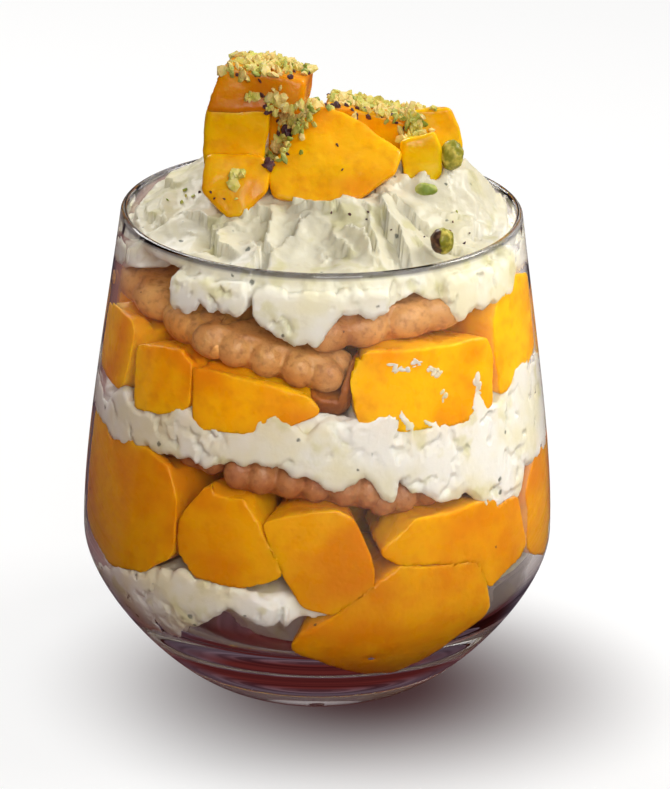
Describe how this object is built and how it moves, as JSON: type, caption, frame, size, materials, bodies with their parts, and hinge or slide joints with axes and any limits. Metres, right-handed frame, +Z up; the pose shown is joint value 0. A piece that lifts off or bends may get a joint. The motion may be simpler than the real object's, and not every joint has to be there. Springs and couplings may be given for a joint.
{
  "type": "trifle in a glass",
  "caption": "Mango trifle in a stemless tumbler: cream, mango and scalloped butter biscuits in layers, topped with mango cubes and chopped pistachio.",
  "frame": {"origin": "centre of the flat foot of the glass, on the surface it stands on", "axes": "+Z up along the axis of the glass; the side seen first faces -Y, and +X is to its right"},
  "size_m": [0.092, 0.092, 0.1261],
  "materials": {
    "glass": "clear, smooth, thick at the foot",
    "cream": "whipped ivory cream with dark specks",
    "mango": "moist yellow to orange flesh",
    "biscuit": "baked golden brown, darker at the edges",
    "pistachio": "chopped pale green nut with purple-brown skin"
  },
  "bodies": {
    "root": {"glass": "glass", "cream_bottom": "cream", "mango_lower_01": "mango", "mango_lower_02": "mango", "mango_lower_03": "mango", "mango_lower_04": "mango", "mango_lower_05": "mango", "mango_lower_06": "mango", "mango_lower_07": "mango", "mango_lower_08": "mango", "mango_lower_09": "mango", "mango_lower_10": "mango", "mango_lower_11": "mango", "mango_lower_12": "mango", "mango_lower_13": "mango", "mango_lower_14": "mango", "biscuit_lower_01": "biscuit", "biscuit_lower_02": "biscuit", "biscuit_lower_03": "biscuit", "biscuit_lower_04": "biscuit", "biscuit_lower_05": "biscuit", "biscuit_lower_06": "biscuit", "biscuit_lower_07": "biscuit", "cream_middle": "cream", "mango_upper_01": "mango", "mango_upper_02": "mango", "mango_upper_03": "mango", "mango_upper_04": "mango", "mango_upper_05": "mango", "mango_upper_06": "mango", "mango_upper_07": "mango", "mango_upper_08": "mango", "mango_upper_09": "mango", "mango_upper_10": "mango", "mango_upper_11": "mango", "mango_upper_12": "mango", "mango_upper_13": "mango", "biscuit_upper_01": "biscuit", "biscuit_upper_02": "biscuit", "biscuit_upper_03": "biscuit", "biscuit_upper_04": "biscuit", "biscuit_upper_05": "biscuit", "biscuit_upper_06": "biscuit", "biscuit_upper_07": "biscuit", "cream_top": "cream", "mango_top_back": "mango", "mango_top_corner": "mango", "mango_top_front": "mango", "mango_top_left": "mango", "mango_top_lower": "mango", "mango_top_middle": "mango", "mango_top_right": "mango", "mango_top_upper": "mango", "pistachio_front": "pistachio", "pistachio_right": "pistachio", "pistachio_sliver": "pistachio"}
  },
  "joints": []
}
